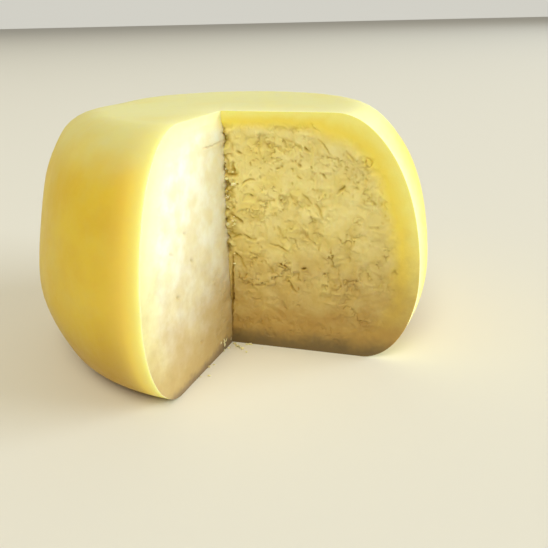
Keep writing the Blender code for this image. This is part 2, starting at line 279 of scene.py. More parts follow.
def angle_of(co):
    """The angle round the cut line from the right cut, and 0 on the cut line itself."""
    if math.hypot(co.x, co.y) < NEAR_ZERO:
        return 0.0
    angle = math.atan2(co.y, co.x) % math.tau
    return 0.0 if angle > math.tau - SAME_ANGLE else angle


def find_cut_faces(bm):
    """The faces of the swept cylinder that lie in its first section, and those in its last one."""
    sweep = LEFT_CUT_ANGLE - RIGHT_CUT_ANGLE
    right, left = [], []
    for face in bm.faces:
        centre = face.calc_center_median()
        inside_rim = math.hypot(centre.x, centre.y) < 1.0 - RIM_MARGIN
        if abs(face.normal.z) > LEVEL_NORMAL or not inside_rim:
            continue
        if angle_of(centre) < SAME_ANGLE:
            right.append(face)
        elif abs(angle_of(centre) - sweep) < SAME_ANGLE:
            left.append(face)
    return right, left


def is_upright(edge):
    return abs(edge.verts[0].co.z - edge.verts[1].co.z) > NEAR_ZERO


def split_cells(bm):
    """Finer cells on the cuts: upright edges are split alike on both, and level ones on each by itself."""
    right, left = find_cut_faces(bm)
    upright = listed_once(edge for face in right + left for edge in face.edges if is_upright(edge))
    bmesh.ops.subdivide_edges(bm, edges=upright, cuts=ROW_SPLITS, use_grid_fill=True)
    for side, splits in ((0, RIGHT_COLUMN_SPLITS), (1, LEFT_COLUMN_SPLITS)):
        faces = find_cut_faces(bm)[side]
        level = listed_once(edge for face in faces for edge in face.edges if not is_upright(edge))
        bmesh.ops.subdivide_edges(bm, edges=level, cuts=splits, use_grid_fill=True)


def shape_ball(bm, outline):
    """Moves the cylinder's vertices into the ball: {vertex: (distance from the cut line, height)}."""
    places = {}
    for vert in bm.verts:
        angle = RIGHT_CUT_ANGLE + angle_of(vert.co)
        out = math.hypot(vert.co.x, vert.co.y)
        radius, rim_height = outline_at(outline, vert.co.z)
        reach = float(reach_to_circle(angle, radius))
        rim = CUT_LINE + reach * direction(angle)
        reach += swell(math.atan2(rim.y, rim.x), rim_height)
        for length, rise in RIND_WAVES:
            spot = Vector((rim.x, rim.y, rim_height)) / length
            reach += noise.noise(spot) * rise * float(smooth_step(0.0, EVEN_FOOT, rim_height))
        level = vert.co.z * HEIGHT
        distance = out * reach
        height = level + (rim_height - level) * out
        vert.co = (CUT_LINE + distance * direction(angle)).to_3d()
        vert.co.z = height
        places[vert] = (distance, height)
    return places


# The cut faces. Paste of pressed curd grains: the knife shaved off what stood proud and left torn hollows,
# cracks and slits. The right cut is crumbly, the left one nearly smooth, the rind's edge is smooth on both,
# and along the cut line, where the knife came to a stop, the paste was torn.
RIND_DEPTH = 0.0060  # the relief sets in between these two depths below the skin
PASTE_DEPTH = 0.0100
TOP_DRYING = 1.7  # the top dried less than the side, so the smooth band below it is thinner by this
RAGGED_LENGTH = 0.0050
RAGGED_DEPTH = 0.0022  # how far the inner edge of that band wavers
SMOOTH_FOOT = 0.008  # the height over which the relief fades out at the base
DRIFT_LENGTH = 0.034
DRIFT_HEIGHT = 0.0008
LEDGE_LENGTH = 0.013
LEDGES_EACH_WAY = 2.0
LEDGE_HEIGHT = 0.0004
LEDGE_TREAD = 0.6  # the level share of a ledge, before the step to the next one
CURD_SIZE = 0.0062
CURD_HEIGHT = 0.00022
CURD_WARP = 0.3
CURD_BORDER = 0.3
GRAIN_MIX = 7.3  # spreads the grains' centres, so that each grain draws its own level
SHAVE_BLEND = 0.0003
Tear = namedtuple("Tear", "size stretch angle wander depth scoop edge patch share")
TEARS = (
    Tear(0.0058, 1.7, -48, wander=0.55, depth=0.0014, scoop=0.0017, edge=0.00030, patch=0.0065, share=0.48),
    Tear(0.0034, 1.5, -30, wander=0.60, depth=0.0012, scoop=0.0012, edge=0.00024, patch=0.0042, share=0.50),
    Tear(0.0021, 1.4, -65, wander=0.60, depth=0.0006, scoop=0.0008, edge=0.00020, patch=0.0034, share=0.50),
)
TEAR_WANDERS = ((0.4, 1.0, 1.7), (0.15, 0.5, 2.9))  # (size, share, seed) of the waves on a tear's edge
TEAR_STEEPNESS = 0.7
TEAR_PATCH_EDGE = 0.30
HOLLOW_SIZE = 0.0046
HOLLOW_DEPTH = 0.00040
HOLLOW_EDGES = (-0.15, 0.40)
TORN_RISE = 0.00035  # levels the torn paste with the rind round it
GRAIN_SIZE = 0.0013
GRAIN_HEIGHT = 0.00020
GRAIN_PATCH = 0.0055
GRAIN_PATCH_EDGES = (-0.25, 0.25)
CRUMB_LENGTH = 0.0011
CRUMB_HEIGHT = 0.00006
PATCH_SIZE = 0.013
PATCH_EDGES = (-0.22, 0.18)
CALM_SHARE = 0.30  # how torn the calm patches between the torn ones are
CREVICE_GAP = 0.0013  # a gap as deep as this gets the full painted shade of a crevice
CREVICE_SCAR = 0.0032
RIGHT_SEAM_WIDTH = 0.0058
LEFT_SEAM_WIDTH = 0.0030
LEFT_SEAM_SHARE = 0.4
LOW_SEAM_SHARE = 0.12  # low down, the seam is a nearly straight slit, and hardly torn
SEAM_HEIGHTS = (0.030, 0.046)  # it is hardly torn below the first of these, and fully above the second
SEAM_WANDER = 0.004
SEAM_WANDER_SEED = 8.0
SEAM_LUMP = 0.0036
SEAM_WARP = 0.0012
SEAM_GAP = 0.0009
SEAM_BORDER = 0.34
SEAM_RISE = 0.0006
SEAM_WAVE_LENGTH = 0.0045
SEAM_WAVE_HEIGHT = 0.0012
SEAM_CURDS = 2.0  # how much more the curds stand out along the seam
SEAM_SCARS = 0.3  # how much deeper the tears are there
Crack = namedtuple("Crack", "start end bow width depth")  # it runs between (way from the cut line, height)
RIGHT_CRACKS = (
    Crack(start=(0.0170, 0.0450), end=(0.0262, 0.0413), bow=0.0003, width=0.00036, depth=0.0012),
    Crack(start=(0.0080, 0.0408), end=(0.0160, 0.0365), bow=0.0004, width=0.00034, depth=0.0010),
    Crack(start=(0.0160, 0.0365), end=(0.0225, 0.0312), bow=-0.0010, width=0.00036, depth=0.0012),
    Crack(start=(0.0240, 0.0312), end=(0.0290, 0.0250), bow=-0.0016, width=0.00038, depth=0.0013),
    Crack(start=(0.0204, 0.0525), end=(0.0232, 0.0472), bow=-0.0006, width=0.00045, depth=0.0010),
    Crack(start=(0.0065, 0.0675), end=(0.0125, 0.0695), bow=0.0012, width=0.00040, depth=0.0011),
    Crack(start=(0.0010, 0.0560), end=(0.0068, 0.0518), bow=0.0010, width=0.00055, depth=0.0018),
    Crack(start=(0.0025, 0.0405), end=(0.0078, 0.0325), bow=0.0006, width=0.00050, depth=0.0018),
    Crack(start=(0.0020, 0.0405), end=(0.0004, 0.0060), bow=-0.0003, width=0.00040, depth=0.0024),
    Crack(start=(0.0008, 0.0720), end=(0.0048, 0.0716), bow=-0.0008, width=0.00070, depth=0.0018),
    Crack(start=(0.0035, 0.0765), end=(0.0042, 0.0715), bow=0.0, width=0.00060, depth=0.0015),
    Crack(start=(0.0052, 0.0808), end=(0.0074, 0.0796), bow=-0.0004, width=0.00055, depth=0.0014),
    Crack(start=(0.0060, 0.0480), end=(0.0120, 0.0462), bow=-0.0008, width=0.00050, depth=0.0013),
    Crack(start=(0.0010, 0.0450), end=(0.0060, 0.0475), bow=0.0005, width=0.00050, depth=0.0015),
    Crack(start=(0.0230, 0.0850), end=(0.0272, 0.0843), bow=0.0003, width=0.00034, depth=0.0010),
    Crack(start=(0.0312, 0.0826), end=(0.0332, 0.0808), bow=0.0, width=0.00045, depth=0.0014),
    Crack(start=(0.0360, 0.0858), end=(0.0406, 0.0800), bow=0.0007, width=0.00036, depth=0.0010),
    Crack(start=(0.0204, 0.0743), end=(0.0222, 0.0748), bow=0.0, width=0.00040, depth=0.0011),
    Crack(start=(0.0286, 0.0766), end=(0.0298, 0.0752), bow=0.0, width=0.00045, depth=0.0011),
    Crack(start=(0.0282, 0.0722), end=(0.0302, 0.0708), bow=-0.0003, width=0.00040, depth=0.0009),
    Crack(start=(0.0332, 0.0710), end=(0.0346, 0.0700), bow=0.0, width=0.00040, depth=0.0010),
    Crack(start=(0.0372, 0.0735), end=(0.0392, 0.0712), bow=0.0, width=0.00040, depth=0.0010),
    Crack(start=(0.0250, 0.0665), end=(0.0288, 0.0618), bow=-0.0010, width=0.00038, depth=0.0010),
    Crack(start=(0.0300, 0.0655), end=(0.0342, 0.0608), bow=0.0004, width=0.00038, depth=0.0011),
    Crack(start=(0.0352, 0.0620), end=(0.0382, 0.0555), bow=0.0003, width=0.00050, depth=0.0013),
    Crack(start=(0.0432, 0.0655), end=(0.0462, 0.0690), bow=0.0003, width=0.00048, depth=0.0013),
    Crack(start=(0.0462, 0.0820), end=(0.0495, 0.0775), bow=-0.0003, width=0.00038, depth=0.0009),
    Crack(start=(0.0170, 0.0830), end=(0.0195, 0.0835), bow=-0.0010, width=0.00038, depth=0.0009),
    Crack(start=(0.0140, 0.0840), end=(0.0150, 0.0770), bow=0.0, width=0.00034, depth=0.0006),
    Crack(start=(0.0080, 0.0220), end=(0.0140, 0.0205), bow=-0.0004, width=0.00036, depth=0.0008),
    Crack(start=(0.0298, 0.0351), end=(0.0317, 0.0356), bow=0.0, width=0.00034, depth=0.0026),
    Crack(start=(0.0213, 0.0369), end=(0.0222, 0.0363), bow=0.0, width=0.00036, depth=0.0028),
    Crack(start=(0.0230, 0.0363), end=(0.0238, 0.0356), bow=0.0, width=0.00036, depth=0.0028),
)
LEFT_CRACKS = (
    Crack(start=(-0.0010, 0.0845), end=(0.0160, 0.0842), bow=-0.0006, width=0.00030, depth=0.0006),
    Crack(start=(0.0270, 0.0458), end=(0.0288, 0.0474), bow=0.0, width=0.00060, depth=0.0010),
    Crack(start=(0.0392, 0.0366), end=(0.0408, 0.0378), bow=0.0, width=0.00065, depth=0.0010),
    Crack(start=(0.0404, 0.0525), end=(0.0428, 0.0545), bow=0.0, width=0.00045, depth=0.0006),
    Crack(start=(0.0310, 0.0575), end=(0.0330, 0.0585), bow=0.0, width=0.00045, depth=0.0005),
    Crack(start=(0.0250, 0.0128), end=(0.0270, 0.0138), bow=0.0, width=0.00060, depth=0.0008),
    Crack(start=(0.0030, 0.0205), end=(0.0080, 0.0225), bow=0.0, width=0.00040, depth=0.0006),
    Crack(start=(0.0060, 0.0260), end=(0.0110, 0.0280), bow=0.0, width=0.00035, depth=0.0005),
)
CRACK_STEPS = 8
CRACK_STEP = 0.0015
CRACKS_APART = (900, 700)  # sets the wavers of neighbouring cracks apart
CRACK_WAVES = 500  # to the metre
CRACK_WAVER_SEED = 4.0
CRACK_WAVER_SHARE = 0.15  # of the crack's length
CRACK_WAVER_MOST = 0.0008
CRACK_PATCHES = 900  # to the metre
CRACK_PATCH_SEED = 8.0
CRACK_PATCH_DEPTHS = (0.75, 0.5)  # (middle, unevenness) as shares of the crack's depth
CRACK_REACH = 4  # in widths
LIP_AWAY = 1.8  # in widths
LIP_HEIGHT = 0.20  # of the crack's depth
SLIT_COUNT = 150
SLIT_SEED = 5
SLIT_PATCH = 0.009
SLIT_PATCH_SEED = 2.0
SLIT_NEAREST = 0.004  # to the cut line
SLIT_RIM = 0.010  # to the side of the ball
SLIT_LOWEST = 0.016
SLIT_HEIGHTS = 0.070  # the reach above the lowest
SLIT_FALL = (-50, 30)  # (middle, spread) in degrees
SLIT_LENGTHS = (0.0005, 0.0018)
SLIT_BOWS = (-0.3, 0.3)
SLIT_WIDTHS = (0.00026, 0.00036)
SLIT_DEPTHS = (0.0005, 0.0012)
RIGHT_SEED = 3.0
RIGHT_CHANGE = (0.012, 0.034)  # the heights between which the right cut turns from smoother to fully torn
RIGHT_SHAVE = (-0.0002, 0.0001)  # the knife took off the relief above this level, below and above that
RIGHT_TEARING = (0.65, 1.0)
RIGHT_FOOT = 0.0102  # the height of the dark line along the foot
RIGHT_GLOW_REACH = 0.0100  # how far the painted glow from a cut reaches into the rind beside it
LEFT_SEED = 11.0
LEFT_INNER = (0.004, 0.030)  # the left cut's tearing ends between these distances from the cut line
LEFT_LOW = (0.030, 0.060)  # and between these heights
LEFT_SHAVE = -0.0010
LEFT_TEARING = (0.08, 0.53)
LEFT_FOOT = 0.0052
LEFT_GLOW_REACH = 0.0045
FOOT_CORE = 0.1  # the share of the dark line, part rind and part painted shadow, that has its full colour
FOOT_WAVES = ((0.009, 0.0022, 7), (0.0018, 0.0012, 0))  # (length, height, seed) of its ragged edge
SHARP_ANGLE = math.radians(50)
TORN_PASTE = 1  # the place of this material among the cheese's, after the rind
SMEARED_PASTE = 2


def between(first, second, share):
    return first + (second - first) * share


def noise_over(points, size, seed, stretch=1.0, angle=0.0):
    """Soft noise with features of one size, drawn out along an angle. Every pattern has a seed of its own."""
    turn = math.radians(angle)
    along = (points[:, 0] * math.cos(turn) + points[:, 1] * math.sin(turn)) / (size * stretch)
    across = (points[:, 1] * math.cos(turn) - points[:, 0] * math.sin(turn)) / size
    return np.array([noise.noise((a, b, seed)) for a, b in zip(along, across)])


def ledges_over(points, seed):
    """Steps of torn paste, one above the other."""
    waves = [noise.fractal((s / LEDGE_LENGTH, z / LEDGE_LENGTH, seed), 1.0, 2.0, 2) for s, z in points]
    waves = np.array(waves) * LEDGES_EACH_WAY
    return (np.floor(waves) + smooth_step(LEDGE_TREAD, 1.0, waves - np.floor(waves))) * LEDGE_HEIGHT


def curds_over(points, seed):
    """Curd grains pressed together, each with its own level."""
    warp_along = noise_over(points, CURD_SIZE, seed + 2.3) * CURD_WARP
    warp_up = noise_over(points, CURD_SIZE, seed + 4.1) * CURD_WARP
    relief = []
    for along, up in zip(points[:, 0] / CURD_SIZE + warp_along, points[:, 1] / CURD_SIZE + warp_up):
        distances, centres = noise.voronoi((along, up, seed))
        level = 2 * noise.cell(centres[0] * GRAIN_MIX) - 1
        relief.append(level * float(smooth_step(0.0, CURD_BORDER, distances[1] - distances[0])))
    return np.array(relief) * CURD_HEIGHT


def grains_over(points, seed):
    """Small rounded grains, where the curd broke between them instead of being cut."""
    lumps = [1.0 - noise.voronoi((s / GRAIN_SIZE, z / GRAIN_SIZE, seed))[0][0] for s, z in points]
    return np.array(lumps) * GRAIN_HEIGHT


def seam_gaps_over(points, seed):
    """How deep the gaps are between the lumps of curd that the knife pulled out along the seam."""
    warp_along = noise_over(points, SEAM_LUMP / 2, seed + 6.1) * SEAM_WARP
    warp_up = noise_over(points, SEAM_LUMP / 2, seed + 7.3) * SEAM_WARP
    borders = []
    for s, z in zip((points[:, 0] + warp_along) / SEAM_LUMP, (points[:, 1] + warp_up) / SEAM_LUMP):
        distances = noise.voronoi((s, z, seed))[0]
        borders.append(distances[1] - distances[0])
    return (1.0 - smooth_step(0.0, SEAM_BORDER, np.array(borders))) * SEAM_GAP


def tears_over(points, tear, seed):
    """How deep the paste is torn: each scar starts at a sharp edge and runs out to the plane of the cut."""
    wave = noise_over(points, tear.size, seed, tear.stretch, tear.angle)
    for size, share, more in TEAR_WANDERS:
        wave += share * tear.wander * noise_over(points, tear.size * size, seed + more)
    away = wave * tear.size * TEAR_STEEPNESS
    patch = noise_over(points, tear.patch, seed + 3.1) + tear.share - 0.5
    scar = (1.0 - smooth_step(-tear.edge, tear.edge, away)) * np.exp(-np.abs(away) / tear.scoop)
    return scar * smooth_step(0.0, TEAR_PATCH_EDGE, patch) * tear.depth


def crack_line(crack):
    """Points along a bowed crack, with a little waver."""
    start, end = Vector(crack.start), Vector(crack.end)
    length = (end - start).length
    across = Vector((-(end - start).y, (end - start).x)) / length
    steps = max(CRACK_STEPS, round(length / CRACK_STEP))
    most = min(length * CRACK_WAVER_SHARE, CRACK_WAVER_MOST)
    points = []
    for i in range(steps + 1):
        share = i / steps
        middle = 4 * share * (1 - share)
        along = start.x * CRACKS_APART[0] + share * length * CRACK_WAVES
        waver = noise.noise((along, start.y * CRACKS_APART[1], CRACK_WAVER_SEED)) * most
        points.append(start.lerp(end, share) + Vector((0.0, crack.bow * middle)) + across * waver * middle)
    return points


def crack_patches(line):
    """How deep a crack is at each point of its line, as a share of its depth."""
    middle, unevenness = CRACK_PATCH_DEPTHS
    spots = [(point.x * CRACK_PATCHES, point.y * CRACK_PATCHES, CRACK_PATCH_SEED) for point in line]
    return [middle + unevenness * noise.noise(spot) for spot in spots]


def crack_over(points, crack):
    """(depth, lip) of one crack: sloping sides that run out at both ends, and a raised lower lip."""
    depth = np.zeros(len(points))
    lip = np.zeros(len(points))
    line = crack_line(crack)
    reach = CRACK_REACH * crack.width
    lowest = np.min(line, axis=0) - reach
    highest = np.max(line, axis=0) + reach
    near = np.all((points > lowest) & (points < highest), axis=1)
    here = points[near]
    deepest = np.zeros(len(here))
    lips = np.zeros(len(here))
    patchy = crack_patches(line)
    for i, (start, end) in enumerate(zip(line, line[1:])):
        a = np.array(start)
        run = np.array(end) - a
        share = np.clip((here - a) @ run / (run @ run), 0.0, 1.0)
        away = here - (a + share[:, None] * run)
        aside = np.hypot(away[:, 0], away[:, 1]) / crack.width
        side = np.sign(run[0] * away[:, 1] - run[1] * away[:, 0]) * np.sign(run[0])
        along = (i + share) / (len(line) - 1)
        run_out = np.sqrt(np.clip(4 * along * (1 - along), 0.0, 1.0)) * patchy[i]
        deepest = np.maximum(deepest, run_out * np.exp(-(aside**2)))
        lips = np.maximum(lips, run_out * np.exp(-((aside - LIP_AWAY) ** 2)) * (side < 0))
    depth[near] = deepest * crack.depth
    lip[near] = lips * crack.depth * LIP_HEIGHT
    return depth, lip


def random_slits(reach):
    """Short slits, most of them falling to the right, where the grains of the right cut's upper part gape."""
    draw = random.Random(SLIT_SEED)
    slits = []
    while len(slits) < SLIT_COUNT:
        s = draw.uniform(SLIT_NEAREST, reach - SLIT_RIM)
        z = SLIT_LOWEST + SLIT_HEIGHTS * math.sqrt(draw.random())
        if noise.noise((s / SLIT_PATCH, z / SLIT_PATCH, SLIT_PATCH_SEED)) < 0.0:
            continue
        angle = math.radians(draw.gauss(*SLIT_FALL))
        length = draw.uniform(*SLIT_LENGTHS)
        end = (s + math.cos(angle) * length, z + math.sin(angle) * length)
        bow = draw.uniform(*SLIT_BOWS) * length
        width = draw.uniform(*SLIT_WIDTHS)
        slits.append(Crack((s, z), end, bow, width, depth=draw.uniform(*SLIT_DEPTHS)))
    return slits


def depth_over(points, angle, outline):
    """How far each point of a cut lies inside the ball's side and top."""
    rim = np.stack([reach_to_circle(angle, outline[:, 0]), outline[:, 1]], axis=1)
    away = points[:, None, :] - rim[None, :, :]
    nearest = np.sqrt((away**2).sum(axis=2)).min(axis=1)
    return np.minimum(nearest, (HEIGHT - points[:, 1]) * TOP_DRYING)


def soft_minimum(a, b, blend):
    """The smaller of two heights, with a rounded change from one to the other."""
    share = np.clip(0.5 + 0.5 * (b - a) / blend, 0.0, 1.0)
    return b + (a - b) * share - blend * share * (1.0 - share)


def relief_over(points, depth, cut):
    """(relief, crevice) of one cut: how far a point stands out of its plane, and how much painted shade it
    gets for lying in a gap or hollow.
    """
    seed = cut.seed
    shave, tearing, torn = cut.style(points)
    torn = torn * between(LOW_SEAM_SHARE, 1.0, smooth_step(*SEAM_HEIGHTS, points[:, 1]))
    torn_patch = smooth_step(*PATCH_EDGES, noise_over(points, PATCH_SIZE, seed + 13))
    tearing = np.maximum(tearing * between(CALM_SHARE, 1.0, torn_patch), torn)
    raw = ledges_over(points, seed) + curds_over(points, seed) * (1.0 + SEAM_CURDS * torn)
    seam_waves = noise_over(points, SEAM_WAVE_LENGTH, seed + 9) * SEAM_WAVE_HEIGHT
    level = shave + torn * (SEAM_RISE + seam_waves)
    face = soft_minimum(raw, level, SHAVE_BLEND) - shave
    scars = np.zeros(len(points))
    for number, tear in enumerate(TEARS):
        scars = np.maximum(scars, tears_over(points, tear, seed + 10 * number))
    scars = scars * tearing * (1.0 + SEAM_SCARS * torn)
    gaps = seam_gaps_over(points, seed) * torn
    lips = np.zeros(len(points))
    for crack in cut.cracks:
        crack_depth, lip = crack_over(points, crack)
        gaps = np.maximum(gaps, crack_depth)
        lips = np.maximum(lips, lip)
    hollows = smooth_step(*HOLLOW_EDGES, noise_over(points, HOLLOW_SIZE, seed + 17)) * tearing
    scars = scars + hollows * HOLLOW_DEPTH
    grainy = smooth_step(*GRAIN_PATCH_EDGES, noise_over(points, GRAIN_PATCH, seed + 19)) * (1.0 - torn)
    fine = noise_over(points, CRUMB_LENGTH, seed) * CRUMB_HEIGHT + grains_over(points, seed) * grainy
    fine = fine * tearing
    ragged_depth = depth + noise_over(points, RAGGED_LENGTH, seed + 21) * RAGGED_DEPTH
    inside = smooth_step(RIND_DEPTH, PASTE_DEPTH, ragged_depth) * smooth_step(0.0, SMOOTH_FOOT, points[:, 1])
    drift = noise_over(points, DRIFT_LENGTH, seed) * DRIFT_HEIGHT
    # Painted shade: gaps, cracks, tears and hollows are darkened in colour, where shade falls.
    crevice = np.clip(gaps / CREVICE_GAP + scars / CREVICE_SCAR, 0.0, 1.0) * inside
    carved = np.maximum(scars, gaps) - TORN_RISE * tearing
    return (drift + face - carved + lips + fine) * inside, crevice


def seam_over(points, width):
    """1 on the cut line, and less towards a wandering edge about the width away from it."""
    wander = noise_over(points, SEAM_WANDER, SEAM_WANDER_SEED) * width / 2
    return 1.0 - smooth_step(0.0, width, points[:, 0] + wander)


def right_cut(points):
    """(shave, tearing, torn) of the right cut: torn above, and smoother towards its foot."""
    upper = smooth_step(*RIGHT_CHANGE, points[:, 1])
    torn = seam_over(points, RIGHT_SEAM_WIDTH)
    return between(*RIGHT_SHAVE, upper), between(*RIGHT_TEARING, upper), torn


def left_cut(points):
    """(shave, tearing, torn) of the left cut, which the knife left nearly smooth."""
    inner = 1.0 - smooth_step(*LEFT_INNER, points[:, 0])
    low = 1.0 - smooth_step(*LEFT_LOW, points[:, 1])
    torn = seam_over(points, LEFT_SEAM_WIDTH) * LEFT_SEAM_SHARE
    return np.full(len(points), LEFT_SHAVE), between(*LEFT_TEARING, inner * low), torn


def dark_foot_over(points, cut):
    """1 in the dark line along the foot of a cut, with a ragged upper edge: partly the base's rind, partly
    painted shadow where it meets the floor.
    """
    ragged = points[:, 1]
    for length, height, more in FOOT_WAVES:
        ragged = ragged + noise_over(points, length, cut.seed + more) * height
    return 1.0 - smooth_step(FOOT_CORE * cut.foot, cut.foot, ragged)


def carve(cut):
    """Moves the vertices of a cut out of its plane, and notes on them what the colours need."""
    verts = listed_once(vert for face in cut.faces for vert in face.verts)
    points = np.array([places[vert] for vert in verts])
    depth = depth_over(points, cut.angle, outline)
    relief, crevice = relief_over(points, depth, cut)
    foot = dark_foot_over(points, cut)
    outward = Vector((math.sin(cut.angle), -math.cos(cut.angle), 0.0)) * cut.side
    for i, vert in enumerate(verts):
        vert.co += outward * float(relief[i])
        vert[depth_layer] = depth[i]
        vert[crevice_shade_layer] = max(vert[crevice_shade_layer], crevice[i])
        vert[foot_layer] = foot[i]
    for face in cut.faces:
        face.material_index = TORN_PASTE if cut.side > 0 else SMEARED_PASTE


def way_to_cut(co, angle):
    """The level way from a point to the nearest point of a cut."""
    place = co.xy - CUT_LINE
    return abs(direction(angle).cross(place)) if direction(angle).dot(place) > 0 else place.length


outline = ball_outline()
bm = bmesh.new()
depth_layer = bm.verts.layers.float.new("rind_depth")
crevice_shade_layer = bm.verts.layers.float.new("crevice")
foot_layer = bm.verts.layers.float.new("foot")
painted_glow_layer = bm.verts.layers.float.new("near_cut")
sweep_section(bm)
split_cells(bm)
right_faces, left_faces = find_cut_faces(bm)
places = shape_ball(bm, outline)
right_cracks = list(RIGHT_CRACKS) + random_slits(float(reach_to_circle(RIGHT_CUT_ANGLE, GIRTH_RADIUS)))
Cut = namedtuple("Cut", "faces angle side seed style cracks foot glow_reach")
cuts = (
    Cut(right_faces, RIGHT_CUT_ANGLE, 1, RIGHT_SEED, right_cut, right_cracks, RIGHT_FOOT, RIGHT_GLOW_REACH),
    Cut(left_faces, LEFT_CUT_ANGLE, -1, LEFT_SEED, left_cut, LEFT_CRACKS, LEFT_FOOT, LEFT_GLOW_REACH),
)
for cut in cuts:
    carve(cut)
# Painted glow: how near the rind lies to a cut, for colour that stands in for light shining through it.
for vert in bm.verts:
    ways = [way_to_cut(vert.co, cut.angle) / cut.glow_reach for cut in cuts]
    vert[painted_glow_layer] = math.exp(-min(ways))
many_sided = [face for face in bm.faces if len(face.verts) > 4]
bmesh.ops.triangulate(bm, faces=many_sided, quad_method="BEAUTY", ngon_method="BEAUTY")
for face in bm.faces:
    face.smooth = True
cheese_mesh = make_mesh(bm, "cut_ball")
cheese_mesh.set_sharp_from_angle(angle=SHARP_ANGLE)
cheese = add_object("cut_ball", cheese_mesh)
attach(cheese, "root")
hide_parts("cheese")

# The natural rind. The outside of the pressed curd, dried to a smooth, butter-yellow skin with a soft waxy
# sheen. It is a little cloudy and duller on top. Its colour is painted darker and browner low down as shade,
# paler on top partly as a painted sheen of the light from above and partly as a drier skin, and brighter
# beside the cuts as a painted glow of the light that shines through it.
RIND_YELLOW = (0.79, 0.58, 0.036, 1.0)
RIND_DEEP = (0.75, 0.52, 0.028, 1.0)
# Partly a painted sheen of the light from above, partly a drier, paler skin on top.
RIND_TOP = (0.73, 0.69, 0.295, 1.0)
# Painted light and painted glow beside the cuts, for the light that shines through the rind.
RIND_PAINTED_GLOW = (0.84, 0.79, 0.39, 1.0)
RIND_PAINTED_LIGHT = (0.90, 0.67, 0.030, 1.0)
RIND_DRY = (0.72, 0.57, 0.12, 1.0)
# Painted shade: the rind is darker and browner low down.
RIND_LOW_SHADE = (0.53, 0.305, 0.011, 1.0)
RIND_CLOUD = 0.018
RIND_CLOUD_EDGES = (0.35, 0.65)
LOW_RIND = (0.004, 0.046)  # the painted shade low down gives way between these heights
DRY_PATCH = 0.030
DRY_EDGES = (0.52, 0.74)
DRY_SHARE = 0.40
TOP_CLOUD = 0.022
CLOUDY_RISE = 0.020
PALE_TOP = (0.086, 0.107)  # the rind turns pale, partly as a painted sheen, between these heights, its cloudy rise added
LIT_BY = 0.35  # the nearness to a cut from which the rind has its full painted light
RIND_ROUGHNESS = 0.23
GLOSS_PATCH = 0.012
GLOSS_PATCH_SHARE = 0.24
GLOSS_GRAIN = 0.0025
GLOSS_GRAIN_SHARE = 0.16
TOP_DULLNESS = 0.35
DIMPLE = 0.006
PORE = 0.0008
RIND_LIGHT_DEPTH = (0.013, 0.0120, 0.0040)  # how far red, green and blue light spread in it


def mix_colours(tree, factor, first, second):
    """A Mix node on colours. factor, first and second are sockets or plain values."""
    node = tree.nodes.new("ShaderNodeMix")
    node.data_type = "RGBA"
    for socket, value in ((node.inputs[0], factor), (node.inputs[6], first), (node.inputs[7], second)):
        if isinstance(value, bpy.types.NodeSocket):
            tree.links.new(value, socket)
        else:
            socket.default_value = value
    return node.outputs[2]


def ramp(tree, socket, low, high):
    """0 to 1 as the socket's value goes from low to high."""
    node = tree.nodes.new("ShaderNodeMapRange")
    node.interpolation_type = "SMOOTHSTEP"
    node.inputs["From Min"].default_value = low
    node.inputs["From Max"].default_value = high
    tree.links.new(socket, node.inputs["Value"])
    return node.outputs["Result"]


def attribute_value(tree, name):
    node = tree.nodes.new("ShaderNodeAttribute")
    node.attribute_name = name
    return node.outputs["Fac"]


def add_share(tree, socket, share, to=0.0):
    """A share of the socket's value, added to a number or to another socket."""
    node = tree.nodes.new("ShaderNodeMath")
    node.operation = "MULTIPLY_ADD"
    node.inputs[1].default_value = share
    tree.links.new(socket, node.inputs[0])
    if isinstance(to, bpy.types.NodeSocket):
        tree.links.new(to, node.inputs[2])
    else:
        node.inputs[2].default_value = to
    return node.outputs[0]


def add_bump(tree, height, strength, distance, below=None):
    """A Bump node on a height socket, on top of another normal. It gives back the normal socket."""
    node = tree.nodes.new("ShaderNodeBump")
    node.inputs["Strength"].default_value = strength
    node.inputs["Distance"].default_value = distance
    tree.links.new(height, node.inputs["Height"])
    if below is not None:
        tree.links.new(below, node.inputs["Normal"])
    return node.outputs["Normal"]


def noise_node(tree, coordinates, size, detail, roughness=0.5):
    """Cloudy noise from 0 to 1, with features of one size."""
    node = tree.nodes.new("ShaderNodeTexNoise")
    node.inputs["Scale"].default_value = 1.0 / size
    node.inputs["Detail"].default_value = detail
    node.inputs["Roughness"].default_value = roughness
    tree.links.new(coordinates, node.inputs["Vector"])
    return node.outputs["Fac"]


def object_place(tree):
    return tree.nodes.new("ShaderNodeTexCoord").outputs["Object"]


def height_of(tree, place):
    split = tree.nodes.new("ShaderNodeSeparateXYZ")
    tree.links.new(place, split.inputs[0])
    return split.outputs["Z"]


rind, shader = new_material("natural_rind")
tree = rind.node_tree
place = object_place(tree)
height = height_of(tree, place)
cloud = ramp(tree, noise_node(tree, place, RIND_CLOUD, detail=4.0), *RIND_CLOUD_EDGES)
colour = mix_colours(tree, cloud, RIND_DEEP, RIND_YELLOW)
# Painted shade: darker and browner low down.
colour = mix_colours(tree, ramp(tree, height, *LOW_RIND), RIND_LOW_SHADE, colour)
dry = ramp(tree, noise_node(tree, place, DRY_PATCH, detail=5.0, roughness=0.6), *DRY_EDGES)
colour = mix_colours(tree, add_share(tree, dry, DRY_SHARE), colour, RIND_DRY)
# Painted light and glow: the rind turns brighter and paler beside the cuts.
near_cut = attribute_value(tree, "near_cut")
colour = mix_colours(tree, ramp(tree, near_cut, 0.0, LIT_BY), colour, RIND_PAINTED_LIGHT)
